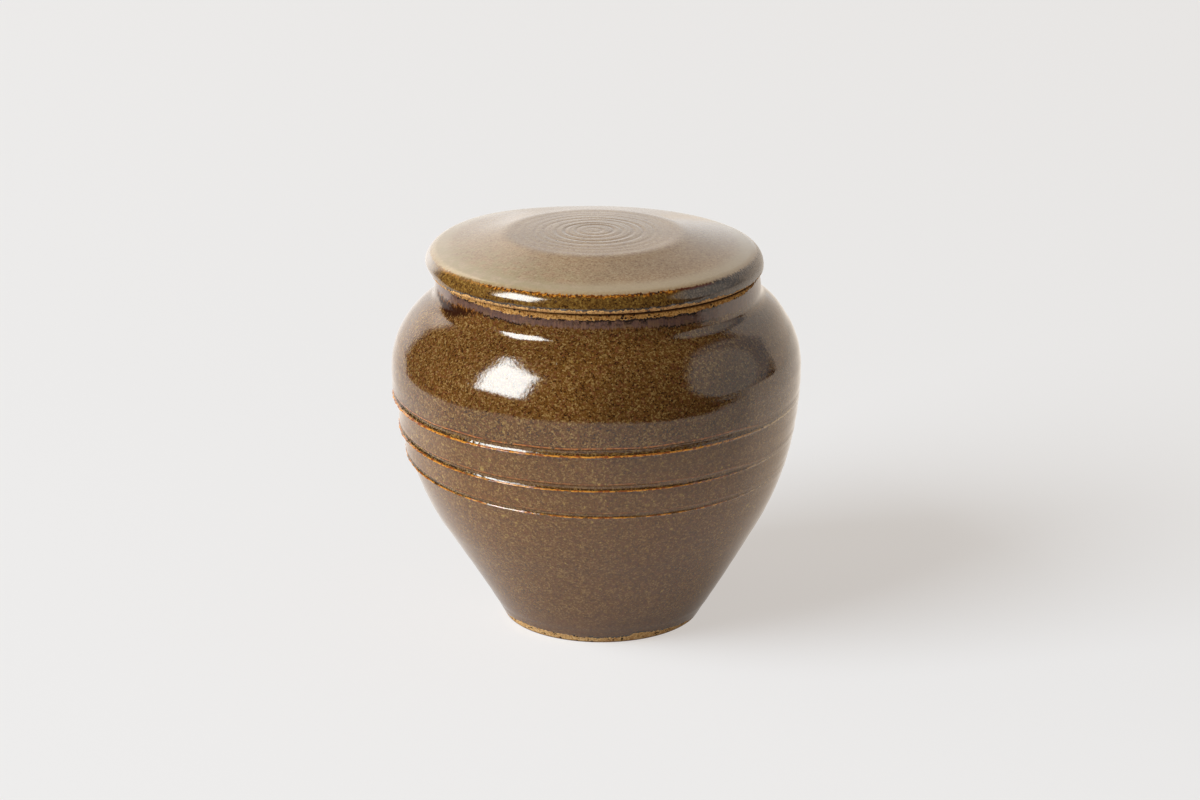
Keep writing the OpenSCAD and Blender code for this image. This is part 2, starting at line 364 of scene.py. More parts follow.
def make_jar():
    outer, inner = azimuths(OUTER_SEGMENTS), azimuths(INNER_SEGMENTS)
    ring_in = FOOT_R - FOOT_RING
    foot_c = (FOOT_R - FOOT_ROUND * math.tan(math.radians(45 - FLARE / 2)), FOOT_ROUND)
    under = line((4, RECESS_DEPTH), (ring_in - RECESS_SIDE, RECESS_DEPTH), 5)
    under += line((ring_in - RECESS_SIDE, RECESS_DEPTH), (ring_in, 0), 0.5)
    under += line((ring_in, 0), (foot_c[0], 0), 1.6)
    foot = arc(foot_c, FOOT_ROUND, -90, -FLARE, 0.25)
    fillet_c, fillet_a = neck_round(SHOULDER_R, NECK_R + NECK_FOOT_EXTRA, NECK_FILLET)
    shoulder = arc(SHOULDER_C, SHOULDER_R, 0, fillet_a, 1.3)
    neck = arc(fillet_c, NECK_FILLET, 180 + fillet_a, 180 + NECK_TAPER, 0.35)
    taper = math.radians(NECK_TAPER)
    neck_low = (fillet_c[0] - NECK_FILLET * math.cos(taper), fillet_c[1] - NECK_FILLET * math.sin(taper))
    round_z = SEAT_Z - RIM_OUTER_ROUND
    neck_high = (neck_low[0] - (round_z - neck_low[1]) * math.tan(taper), round_z)
    neck += line(neck_low, neck_high, 0.35)
    neck += arc((neck_high[0] - RIM_OUTER_ROUND, round_z), RIM_OUTER_ROUND, NECK_TAPER, 90, 0.25)
    neck += line((neck_high[0] - RIM_OUTER_ROUND, SEAT_Z), (MOUTH_R + RIM_INNER_ROUND, SEAT_Z), 1.0)
    inner_r = SHOULDER_R - WALL
    mouth_c, mouth_a = neck_round(inner_r, MOUTH_R, MOUTH_ROUND)
    inside = arc((MOUTH_R + RIM_INNER_ROUND, SEAT_Z - RIM_INNER_ROUND), RIM_INNER_ROUND, 90, 180, 0.4)
    inside += line((MOUTH_R, SEAT_Z - RIM_INNER_ROUND), (MOUTH_R, mouth_c[1]), 1.2)
    inside += arc(mouth_c, MOUTH_ROUND, 180, 180 + mouth_a, 1.0)
    inside += arc(SHOULDER_C, inner_r, mouth_a, 0, 2.5)
    inside += arc((WALL_ARC_X, BELLY_Z), WALL_ARC_R - WALL, 0, -FLARE, 3.5)
    floor_z = FLOOR_TOP + FLOOR_ROUND
    floor_x = FOOT_R + floor_z * _tan - (WALL + FLOOR_ROUND) / math.cos(math.radians(FLARE))
    inside += arc((floor_x, floor_z), FLOOR_ROUND, -FLARE, -90, 2.0)
    inside += line((floor_x, FLOOR_TOP), (4, FLOOR_TOP), 4)

    one = np.zeros(1)
    blocks = [(*plain_rings([(0, RECESS_DEPTH)], one, ALL_CLAY), one)]
    blocks.append((*plain_rings(under, outer, ALL_CLAY), outer))
    foot_z = np.array(foot)[:, 1:]
    blocks.append((*plain_rings(foot, outer, foot_reach(outer)[None, :] - foot_z), outer))
    radius, height, marks = wall_rings(outer)
    radius = radius + unevenness(outer[None, :], height) * smooth(height, 0, 4)
    blocks.append((radius, height, marks, outer))
    radius, height, marks = plain_rings(shoulder, outer, FAR_FROM_CLAY)
    radius = radius + unevenness(outer[None, :], height) * (1 - smooth(height, 100, 107))
    fuller = 0.9 * hump(outer, 100, 55) + 0.5 * hump(outer, -95, 50)
    height = height + fuller[None, :] * smooth(height, 97, 103)
    blocks.append((radius, height, marks, outer))
    neck_z = np.array(neck)[:, 1:]
    radius, height, marks = plain_rings(neck, outer, rim_reach(outer)[None, :] - (SEAT_Z - neck_z))
    height = height + fuller[None, :] * (1 - smooth(height, 106, 112))
    radius = radius + 0.5 * hump(outer, -92, 45)[None, :] * smooth(height, 104, 108)
    blocks.append((radius, height, marks, outer))
    inside_z = np.array(inside)[:, 1:]
    blocks.append((*plain_rings(inside, inner, 1.2 - (SEAT_Z - inside_z)), inner))
    blocks.append((*plain_rings([(0, FLOOR_TOP)], one, FAR_FROM_CLAY), one))
    return turned_mesh("jar_glazed", blocks, lambda z: drift(np.clip(z, DRIFT_Z[0], DRIFT_Z[-1])))


# The lid's rings of points

ROLL_C = (LID_R - LID_ROLL, SEAT_Z + LID_ROLL_RISE)
SLOPE_FOOT = (
    ROLL_C[0] + LID_ROLL * math.sin(math.radians(LID_SLOPE)),
    ROLL_C[1] + LID_ROLL * math.cos(math.radians(LID_SLOPE)),
)
CROWN_ROUND = 3.6
# Rings left by throwing on the lid's top: radius, strength and half width
THROWN_RINGS = (
    (2.4, 0.6, 0.7), (4.3, 0.3, 0.35), (5.9, 1.0, 0.6), (7.4, 0.4, 0.35), (8.9, 1.0, 0.6), (10.6, 0.4, 0.35),
    (12.2, 0.85, 0.65), (13.9, 0.3, 0.35), (15.5, 0.75, 0.65), (17.2, 0.25, 0.35), (18.8, 0.35, 0.6), (21.6, 0.2, 0.6),
)
THROWN_DEPTH = 0.115
# How far up the edge the lid's clay is bare
LID_CLAY = 1.55
# Where on the roll the glaze breaks to a rusty line, along the profile from the slope's foot
RUST_RUN = -2.5


def slope_z(r):
    return SLOPE_FOOT[1] + (SLOPE_FOOT[0] - r) * math.tan(math.radians(LID_SLOPE))


def lid_top_z(r):
    """Height of the lid's top at a radius inside the roll: the crown's low dome runs out into the slope."""
    dome = slope_z(CROWN_R) + CROWN_RISE * (1 - (r / CROWN_R) ** 2)
    t = smooth(r, CROWN_R - CROWN_ROUND, CROWN_R + CROWN_ROUND)
    return dome * (1 - t) + slope_z(np.maximum(r, CROWN_R - CROWN_ROUND)) * t


def thrown_rings(r, azimuth):
    """Relief of the throwing rings, uneven round the lid. Their middle lies a little behind the lid's."""
    relief = 0 * r * azimuth
    for radius, strength, half in THROWN_RINGS:
        line_r = radius + 0.3 * np.sin(azimuth + radius) + 0.15 * np.cos(2 * azimuth - radius)
        line_r = line_r - 0.9 * np.cos(azimuth) * smooth(14 - radius, 0, 12)
        side = strength * (0.8 + 0.2 * np.cos(azimuth - radius * 0.5))
        relief = relief - side * np.exp(-((r - line_r) / half) ** 2)
        relief = relief + 0.5 * side * np.exp(-((r - line_r - 2.2 * half) / (1.3 * half)) ** 2)
    return relief


def lid_reach(azimuth):
    """Height over the seat up to which the lid's edge is bare clay."""
    turn = (np.degrees(azimuth) + 180) % 360 - 180
    reach = LID_CLAY - 0.7 * hump(azimuth, -95, 45) - 0.45 * smooth(turn, 20, 60)
    return reach + wander(azimuth, 14, 3, 0.25)


def lid_block(points, azimuth, edge_run, clay_reach=None):
    """Rings of the lid through profile points. clay_reach is taken from the height where it isn't given."""
    points = np.array(points)
    flat = 0 * azimuth[None, :]
    radius = points[:, :1] + flat
    height = points[:, 1:] + flat
    reach = lid_reach(azimuth)[None, :] - (height - SEAT_Z) if clay_reach is None else clay_reach + flat + 0 * height
    marks = dict(clay_reach=reach, edge_run=np.array(edge_run, float)[:, None] + flat, thrown=0 * height)
    return radius, height, marks, azimuth


def make_lid():
    outer, inner = azimuths(OUTER_SEGMENTS), azimuths(INNER_SEGMENTS)
    flange_in = FLANGE_R - FLANGE_T
    under_z = slope_z(CROWN_R) - LID_T
    round_z = FLANGE_BOTTOM_Z + FLANGE_ROUND
    under = line((4, under_z), (CROWN_R, under_z), 4)
    under += line((CROWN_R, under_z), (flange_in, slope_z(flange_in) - LID_T), 3)
    under += line((flange_in, slope_z(flange_in) - LID_T), (flange_in, round_z), 2)
    under += arc((flange_in + FLANGE_ROUND, round_z), FLANGE_ROUND, 180, 270, 0.5)
    under += line((flange_in + FLANGE_ROUND, FLANGE_BOTTOM_Z), (FLANGE_R - FLANGE_ROUND, FLANGE_BOTTOM_Z), 1.3)
    under += arc((FLANGE_R - FLANGE_ROUND, round_z), FLANGE_ROUND, 270, 360, 0.5)
    under += line((FLANGE_R, round_z), (FLANGE_R, SEAT_Z), 2)
    edge_c = (LID_R - LID_EDGE_R, SEAT_Z + LID_EDGE_RISE + LID_EDGE_R)
    edge_z = SEAT_Z + LID_EDGE_RISE
    seat = line((FLANGE_R, SEAT_Z), (UNDERCUT_R, SEAT_Z), 1.5)
    seat += line((UNDERCUT_R, SEAT_Z), (UNDERCUT_R + 0.8, edge_z), 0.5)
    seat += line((UNDERCUT_R + 0.8, edge_z), (edge_c[0], edge_z), 0.8)
    edge = arc(edge_c, LID_EDGE_R, -90, 0, 0.2)
    edge += line((LID_R, edge_c[1]), (LID_R, ROLL_C[1]), 0.2)
    roll = arc(ROLL_C, LID_ROLL, 0, 90 - LID_SLOPE, 0.22)
    slope = [np.array((r, lid_top_z(r))) for r in np.arange(SLOPE_FOOT[0], 25.0, -1.0)]
    crown = [np.array((r, lid_top_z(r))) for r in np.arange(25.0, 0.3, -0.3)]
    roll_length = LID_ROLL * math.radians(90 - LID_SLOPE)
    roll_run = [LID_ROLL * math.atan2(p[1] - ROLL_C[1], p[0] - ROLL_C[0]) - roll_length for p in roll]
    edge_run = [p[1] - ROLL_C[1] - roll_length for p in edge]

    one = np.zeros(1)
    blocks = [lid_block([(0, under_z)], one, [-20], ALL_CLAY)]
    blocks.append(lid_block(under, inner, [-20] * len(under), ALL_CLAY))
    blocks.append(lid_block(seat, outer, [-20] * len(seat), ALL_CLAY))
    blocks.append(lid_block(edge, outer, edge_run))
    blocks.append(lid_block(roll, outer, roll_run))
    blocks.append(lid_block(slope, outer, [SLOPE_FOOT[0] - p[0] for p in slope], FAR_FROM_CLAY))
    radius, height, marks, azimuth = lid_block(crown, outer, [SLOPE_FOOT[0] - p[0] for p in crown], FAR_FROM_CLAY)
    relief = thrown_rings(radius, azimuth[None, :])
    marks["thrown"] = relief
    blocks.append((radius, height + THROWN_DEPTH * relief, marks, azimuth))
    blocks.append(lid_block([(0, float(lid_top_z(0.0)))], one, [SLOPE_FOOT[0]], FAR_FROM_CLAY))
    # The plate is a little fuller at the left of the back, and its edge is drawn in at the left
    for radius, height, _, azimuth in blocks:
        fuller = hump(azimuth, -132, 48)[None, :] * smooth(radius, 34, 50) * smooth(height, SEAT_Z + 1, SEAT_Z + 5)
        radius += 0.8 * fuller
        height += 0.7 * fuller
        radius -= 2.3 * hump(azimuth, -95, 42)[None, :] * smooth(SEAT_Z + 3.4 - height, 0, 3.0) * smooth(radius, 50, 53)
    return turned_mesh("lid_glazed", blocks, lambda z: LID_DRIFT + 0 * z)


# Materials


# How far a noise colour pushes a place, for a reach of 1
PUSH = 3.0


class Shader:
    """A material being built. Each method adds nodes and returns an output. Lengths are in millimetres."""

    def __init__(self, name):
        self.material = bpy.data.materials.new(name)
        self.material.use_nodes = True
        self.tree = self.material.node_tree
        self.surface = self.tree.nodes["Principled BSDF"]
        self.where = self.node("ShaderNodeTexCoord").outputs["Object"]
        parts = self.node("ShaderNodeSeparateXYZ")
        self.feed(self.where, parts.inputs[0])
        self.x, self.y, self.z = parts.outputs
        turn = self.math("ARCTAN2", self.x, self.times(self.y, -1.0))
        self.around = self.times(turn, 180 / math.pi)

    def node(self, kind, **settings):
        made = self.tree.nodes.new(kind)
        for key, value in settings.items():
            setattr(made, key, value)
        return made

    def feed(self, value, socket):
        if isinstance(value, bpy.types.NodeSocket):
            self.tree.links.new(value, socket)
        else:
            socket.default_value = value

    def math(self, operation, a, b=0.0):
        made = self.node("ShaderNodeMath", operation=operation)
        self.feed(a, made.inputs[0])
        self.feed(b, made.inputs[1])
        return made.outputs[0]

    def add(self, *values):
        total = values[0]
        for value in values[1:]:
            total = self.math("ADD", total, value)
        return total

    def times(self, *values):
        total = values[0]
        for value in values[1:]:
            total = self.math("MULTIPLY", total, value)
        return total

    def less(self, a, b):
        return self.math("SUBTRACT", a, b)

    def flip(self, value):
        return self.math("SUBTRACT", 1.0, value)

    def step(self, value, low, high, bottom=0.0, top=1.0):
        """bottom where value is under low, top over high, smooth between."""
        made = self.node("ShaderNodeMapRange", interpolation_type="SMOOTHSTEP")
        for socket, item in zip(made.inputs, (value, low, high, bottom, top)):
            self.feed(item, socket)
        return made.outputs[0]

    def bell(self, value, centre, width):
        """1 where value is at centre, falling to 0 width away."""
        away = self.math("ABSOLUTE", self.less(value, centre))
        return self.flip(self.step(away, 0.0, width))

    def window(self, value, low, high, soft):
        """1 between low and high, with soft edges."""
        until = self.step(value, self.less(high, soft), self.add(high, soft))
        return self.times(self.step(value, low - soft, low + soft), self.flip(until))

    def mix(self, share, a, b):
        made = self.node("ShaderNodeMix", data_type="RGBA")
        self.feed(share, made.inputs[0])
        self.feed(a, made.inputs[6])
        self.feed(b, made.inputs[7])
        return made.outputs[2]

    def shade(self, colour, value):
        """colour times a number."""
        made = self.node("ShaderNodeVectorMath", operation="SCALE")
        self.feed(colour, made.inputs[0])
        self.feed(value, made.inputs["Scale"])
        return made.outputs[0]

    def mark(self, name):
        return self.node("ShaderNodeAttribute", attribute_name=name).outputs["Fac"]

    def moved(self, offset):
        made = self.node("ShaderNodeMapping")
        self.feed(self.where, made.inputs["Vector"])
        made.inputs["Location"].default_value = (offset, offset * 0.7, -offset)
        return made.outputs[0]

    def noise(self, size, detail=2.0, rough=0.5, vector=None, offset=0.0):
        made = self.node("ShaderNodeTexNoise")
        self.feed(vector or self.moved(offset), made.inputs["Vector"])
        made.inputs["Scale"].default_value = 1 / (size * MM)
        made.inputs["Detail"].default_value = detail
        made.inputs["Roughness"].default_value = rough
        return made.outputs[0]

    def streaks(self, size, along, length):
        """Noise drawn out along a profile: size across, and length times as long."""
        made = self.node("ShaderNodeCombineXYZ")
        self.feed(self.times(self.around, MM), made.inputs[0])
        self.feed(self.times(along, MM / length), made.inputs[1])
        return self.noise(size, detail=2, vector=made.outputs[0])

    def pushed(self, reach, offset):
        """A place pushed about by up to reach, so that round forms and straight borders come out ragged."""
        push = self.node("ShaderNodeTexNoise")
        self.feed(self.moved(offset), push.inputs["Vector"])
        push.inputs["Scale"].default_value = 1 / (2 * reach * MM)
        push.inputs["Detail"].default_value = 2.0
        made = self.node("ShaderNodeVectorMath", operation="MULTIPLY_ADD")
        self.feed(push.outputs["Color"], made.inputs[0])
        made.inputs[1].default_value = Vector((1, 1, 1)) * (PUSH * reach * MM)
        self.feed(self.moved(offset), made.inputs[2])
        return made.outputs[0]

    def cells(self, spacing, offset):
        """Ragged cells about spacing across: the distance to a cell's middle, and two random numbers of the cell."""
        made = self.node("ShaderNodeTexVoronoi")
        self.feed(self.pushed(0.25 * spacing, offset), made.inputs["Vector"])
        made.inputs["Scale"].default_value = 1 / (spacing * MM)
        parts = self.node("ShaderNodeSeparateColor")
        self.feed(made.outputs["Color"], parts.inputs[0])
        return made.outputs["Distance"], parts.outputs[0], parts.outputs[1]

    def spots(self, spacing, radius, share, offset=0.0, edge=0.35):
        """1 on scattered dots: about spacing apart, up to radius, in that share of the places. edge near 1 is sharp."""
        distance, chance, size = self.cells(spacing, offset)
        reach = self.times(self.step(size, 0.0, 1.0, 0.45, 1.0), radius / spacing)
        dot = self.flip(self.step(distance, self.times(reach, edge), reach))
        return self.times(dot, self.math("LESS_THAN", chance, share))

    def away(self, direction, distance):
        """How far a place lies along a direction, over distance."""
        made = self.node("ShaderNodeVectorMath", operation="DOT_PRODUCT")
        self.feed(self.where, made.inputs[0])
        made.inputs[1].default_value = direction / distance
        return made.outputs["Value"]

    def bump(self, height):
        """Bends the surface by a height in millimetres."""
        made = self.node("ShaderNodeBump")
        made.inputs["Strength"].default_value = 1.0
        made.inputs["Distance"].default_value = MM
        self.feed(height, made.inputs["Height"])
        return made.outputs[0]

    def finish(self, colour, roughness, bump_height):
        self.feed(colour, self.surface.inputs["Base Color"])
        self.feed(roughness, self.surface.inputs["Roughness"])
        self.feed(self.bump(bump_height), self.surface.inputs["Normal"])
        self.surface.inputs["IOR"].default_value = 1.6
        return self.material


AMBER = (0.106, 0.041, 0.0070, 1)
DEEP = (0.028, 0.009, 0.002, 1)
OLIVE = (0.26, 0.155, 0.052, 1)
OCHRE = (0.33, 0.215, 0.055, 1)
OCHRE_PALE = (0.42, 0.26, 0.10, 1)
FLECK = (0.37, 0.235, 0.055, 1)
GOLD = (0.50, 0.24, 0.035, 1)
RUST = (0.21, 0.05, 0.010, 1)
BREAK = (0.58, 0.225, 0.028, 1)
PURPLE = (0.098, 0.052, 0.042, 1)
MAUVE = (0.118, 0.055, 0.028, 1)
INK = (0.014, 0.008, 0.006, 1)
UMBER = (0.045, 0.020, 0.006, 1)
BLOOD = (0.10, 0.016, 0.006, 1)
CLAY = (0.40, 0.20, 0.06, 1)
CLAY_PALE = (0.66, 0.42, 0.19, 1)
TOAST = (0.24, 0.095, 0.018, 1)
TOAST_PALE = (0.58, 0.31, 0.095, 1)
# Painted contact shadow for the bottom of the foot
FOOT_CONTACT_SHADE = (0.10, 0.04, 0.013, 1)
KHAKI = (0.335, 0.197, 0.095, 1)
KHAKI_DARK = (0.17, 0.082, 0.034, 1)
KHAKI_PALE = (0.43, 0.31, 0.18, 1)
KHAKI_EDGE = (0.56, 0.44, 0.34, 1)
KHAKI_GREEN = (0.31, 0.235, 0.105, 1)
# Painted reflection: a blue-grey sheen
PAINTED_STEEL_SHEEN = (0.10, 0.105, 0.115, 1)


def speckled(s, base, deep, light, contrast):
    """Glaze colour: a mosaic of fine dark and light grains, and slow clouds."""
    _, fine, _ = s.cells(0.38, 0.13)
    _, coarse, _ = s.cells(0.66, 0.57)
    tone = s.add(s.times(fine, 0.62), s.times(coarse, 0.38))
    colour = s.mix(s.times(s.step(tone, 0.46, 0.12), contrast), base, deep)
    colour = s.mix(s.times(s.step(tone, 0.56, 0.92), contrast), colour, light)
    cloud = s.noise(22, detail=3, offset=0.31)
    return s.shade(colour, s.step(cloud, 0.3, 0.7, 0.9, 1.1))


def clay_colour(s, dark, pale):
    grain = s.noise(0.6, detail=2, rough=0.75, offset=0.5)
    colour = s.mix(s.step(grain, 0.38, 0.60), dark, pale)
    scorch = s.noise(2.2, detail=2, offset=0.9)
    colour = s.mix(s.step(scorch, 0.52, 0.7, 0, 0.4), colour, RUST)
    return s.mix(s.spots(1.35, 0.55, 0.7, offset=0.37, edge=0.7), colour, INK)


def clay_mask(s):
    """1 on bare clay, with an uneven glaze line, and how far the clay reaches past it."""
    slow = s.step(s.noise(5, detail=1, offset=0.6), 0.3, 0.7, -0.2, 0.2)
    fast = s.step(s.noise(0.8, detail=2, offset=0.8), 0.3, 0.7, -0.22, 0.22)
    reach = s.add(s.mark("clay_reach"), slow, fast)
    return s.step(reach, -0.07, 0.07), reach


def jar_material():
    s = Shader("speckled_glaze")
    drop = s.mark("drop")
    around = s.around
    colour = speckled(s, AMBER, DEEP, OLIVE, s.step(drop, 34.0, 42.0, 0.92, 1.15))
    # The belly is redder. Ochre flecks float in its glaze and thin out towards the foot
    colour = s.mix(s.step(drop, 34.0, 46.0, 0.0, 0.3), colour, (0.185, 0.078, 0.018, 1))
    _, hue, _ = s.cells(0.6, 0.83)
    colour = s.mix(s.step(hue, 0.76, 0.92, 0.0, 0.4), colour, (0.145, 0.042, 0.018, 1))
    wall = s.times(s.step(drop, 24.0, 40.0, 0.45, 1.0), s.flip(s.step(drop, 92.0, 112.0, 0.0, 0.85)))
    cluster = s.step(s.noise(8, detail=2, offset=0.87), 0.36, 0.62, 0.45, 1.0)
    colour = s.mix(s.times(s.spots(2.1, 0.62, 0.42, offset=0.07, edge=0.15), wall, cluster), colour, FLECK)
    colour = s.mix(s.times(s.spots(3.4, 0.95, 0.35, offset=0.66, edge=0.1), wall, cluster, 0.75), colour, FLECK)
    colour = s.mix(s.times(s.spots(4.1, 0.5, 0.22, offset=0.57, edge=0.4), wall, 0.5), colour, GOLD)
    colour = s.mix(s.times(s.spots(4.3, 0.6, 0.3, offset=0.17), s.step(drop, 42.0, 34.0), 0.6), colour, BLOOD)
    low = s.times(s.step(drop, 100.0, 113.0), 0.55)
    colour = s.mix(low, colour, MAUVE)
    # The colour is darker over the front right of the shoulder and upper belly
    front_right_darker = s.times(s.window(around, 2.0, 48.0, 7.0), s.window(drop, 14.0, 48.0, 5.0))
    colour = s.shade(colour, s.step(front_right_darker, 0.0, 1.0, 1.0, 0.85))
    patch = s.noise(1.4, detail=2, offset=0.4)
    jitter = s.step(patch, 0.3, 0.7, -0.14, 0.14)
    broken = s.noise(2.6, detail=3, offset=0.23)

    # Thin purple-brown glaze on the neck, and under it a dark run at the left
    streak = s.streaks(0.8, drop, 10)
    end = s.add(s.step(around, 10.0, 38.0, 5.4, 6.4), s.times(s.bell(around, -48.0, 14.0), -0.7))
    end = s.add(end, s.step(streak, 0.3, 0.7, -0.45, 0.45), -0.7)
    past = s.less(drop, end)
    neck = s.flip(s.step(past, -0.35, 0.35))
    pink = s.times(s.step(streak, 0.42, 0.66), s.step(s.bell(around, 2.0, 40.0), 0.0, 1.0, 0.3, 0.65))
    purple = s.mix(pink, PURPLE, (0.21, 0.10, 0.055, 1))
    purple = s.mix(s.times(s.step(s.streaks(0.5, drop, 8), 0.53, 0.66), 0.6), purple, (0.05, 0.035, 0.035, 1))
    tan_patch = s.times(s.step(s.noise(5.0, detail=2, offset=0.49), 0.5, 0.64), s.step(drop, 2.6, 4.4))
    purple = s.mix(s.times(tan_patch, 0.6), purple, (0.17, 0.095, 0.04, 1))
    blots = s.times(s.step(patch, 0.50, 0.57), s.step(drop, 4.8, 2.6), s.step(s.bell(around, 16.0, 42.0), 0.0, 0.6, 0.15, 1.0))
    purple = s.mix(blots, purple, INK)
    purple_grain = s.step(s.noise(0.55, detail=2, rough=0.7, offset=0.73), 0.50, 0.66, 0.0, 0.5)
    purple = s.mix(purple_grain, purple, (0.19, 0.10, 0.055, 1))
    colour = s.mix(s.times(neck, 0.92), colour, purple)
    thick = s.add(s.step(around, -45.0, -62.0, 0.9, 4.2), s.step(around, -66.0, -77.0, 0.0, -3.0))
    left = s.times(s.step(around, -80.0, -76.0), s.flip(s.step(around, -48.0, -42.0)))
    fringe = s.streaks(0.45, drop, 6)
    ragged = s.add(past, s.step(fringe, 0.3, 0.7, -0.8, 0.8))
    run = s.times(left, s.step(ragged, -0.5, 0.1), s.flip(s.step(s.less(ragged, thick), -0.3, 0.3)))
    colour = s.mix(s.times(run, 0.95), colour, (0.018, 0.0045, 0.002, 1))
    hairs = s.times(left, s.window(ragged, 0.0, 1.7, 0.4), s.step(fringe, 0.54, 0.62), s.step(patch, 0.44, 0.54))
    colour = s.mix(s.times(hairs, 0.85), colour, (0.36, 0.13, 0.02, 1))
    hair = s.times(s.step(around, -50.0, -42.0), s.flip(s.step(around, -28.0, -18.0)))
    hair = s.math("MAXIMUM", hair, s.times(s.step(around, 18.0, 24.0), s.flip(s.step(around, 40.0, 48.0))))
    colour = s.mix(s.times(hair, s.bell(past, 0.15, 0.5), s.step(broken, 0.35, 0.5)), colour, INK)

    # Grooves: dark hollow, bare rusty ridge and lip
    u = s.add(s.mark("ridge_u"), jitter)
    line = s.mark("ridge_line")
    dots = s.mark("ridge_dots")
    channel = s.mark("channel")
    gold_grain = s.step(s.noise(0.6, detail=2, offset=0.61), 0.50, 0.64)
    side = s.step(around, -75.0, -20.0, 1.0, 0.25)
    colour = s.mix(s.times(channel, side), colour, s.mix(gold_grain, UMBER, (0.32, 0.18, 0.045, 1)))
    dark_top = s.step(around, -72.0, -20.0, 1.25, 0.80)
    bottom = s.times(s.window(u, 0.42, dark_top, 0.16), s.step(line, 0.25, 0.6))
    colour = s.mix(s.times(bottom, 0.9), colour, s.mix(s.times(gold_grain, 0.75), (0.028, 0.012, 0.004, 1), OLIVE))
    # Painted reflection: a blue-grey sheen in places just under each ridge
    colour = s.mix(s.times(s.bell(u, -0.6, 0.35), line, s.step(broken, 0.53, 0.62), 0.6), colour, PAINTED_STEEL_SHEEN)
    lip_u = s.add(s.mark("lip_u"), s.times(jitter, 0.5))
    lip = s.mark("lip_line")
    red = s.mix(s.step(patch, 0.42, 0.58), RUST, (0.46, 0.14, 0.02, 1))
    colour = s.mix(s.times(s.bell(lip_u, 0.0, 0.40), lip, s.step(broken, 0.34, 0.46)), colour, red)
    colour = s.mix(s.times(s.bell(lip_u, 0.42, 0.3), lip, s.step(broken, 0.45, 0.55), 0.7), colour, INK)
    whole = s.step(s.add(broken, s.times(line, 0.2)), 0.47, 0.58)
    bare_line = s.mix(s.step(patch, 0.42, 0.58), RUST, BREAK)
    rusty = s.mix(s.window(around, 48.0, 165.0, 12.0), bare_line, OCHRE_PALE)
    reach_out = s.math("ABSOLUTE", s.less(u, 0.04))
    ridge = s.flip(s.step(reach_out, s.step(line, 0.0, 1.0, 0.05, 0.30), s.step(line, 0.0, 1.0, 0.28, 0.50)))
    colour = s.mix(s.times(ridge, whole, s.step(line, 0.0, 0.35, 0.35, 1.0)), colour, rusty)
    dark_dots = s.times(s.bell(u, 0.1, 0.55), dots, s.step(s.noise(1.5, detail=1, offset=0.77), 0.5, 0.58))
    colour = s.mix(dark_dots, colour, (0.035, 0.014, 0.008, 1))

    pits = s.spots(5.0, 0.36, 0.22, offset=0.71, edge=0.6)
    colour = s.mix(pits, colour, INK)
    bare, reach = clay_mask(s)
    scorched = s.step(s.add(broken, s.times(s.bell(around, 15.0, 30.0), 0.2)), 0.5, 0.6)
    colour = s.mix(s.times(s.window(reach, -0.55, 0.0, 0.15), scorched, 0.85), colour, INK)
    at_foot = s.step(drop, 50.0, 60.0)
    clay = s.mix(at_foot, clay_colour(s, TOAST, TOAST_PALE), clay_colour(s, CLAY, CLAY_PALE))
    # Painted shade: the rim's clay goes dark at the seat, in the gap under the lid's edge
    clay = s.mix(s.window(drop, -1.0, 0.75, 0.3), clay, (0.045, 0.018, 0.007, 1))
    # Painted shadow: the clay goes dark at the very bottom, where the foot stands on the floor
    clay = s.mix(s.step(drop, SEAT_Z - 0.75, SEAT_Z - 0.3, 0.0, 0.9), clay, FOOT_CONTACT_SHADE)
    colour = s.mix(bare, colour, clay)
    rough = s.add(s.step(s.noise(1.3, offset=0.2), 0.3, 0.7, 0.05, 0.10), s.times(bare, 0.7), s.times(neck, s.step(around, 42.0, 66.0, 0.0, 0.14)))
    peel = s.times(s.noise(2.0, detail=1, offset=0.9), 0.028)
    fine = s.times(s.noise(0.8, detail=2, rough=0.65, offset=0.44), 0.027)
    ragged_ridge = s.times(s.noise(1.2, detail=2, offset=0.35), s.window(u, -0.4, 1.5, 0.3), line, 0.14)
    pimples = s.times(s.spots(1.7, 0.32, 0.35, offset=0.29), 0.035)
    relief = s.add(peel, fine, pimples, ragged_ridge, s.times(pits, -0.08))
    relief = s.add(relief, s.times(bare, s.noise(0.35, detail=2), 0.06), s.times(bare, -0.12))
    dull = s.add(run, bare, s.times(channel, s.step(around, -62.0, -50.0, 0.8, 0.0)))
    s.feed(s.step(dull, 0.0, 1.0, 0.5, 0.05), s.surface.inputs["Specular IOR Level"])
    return s.finish(colour, rough, relief)


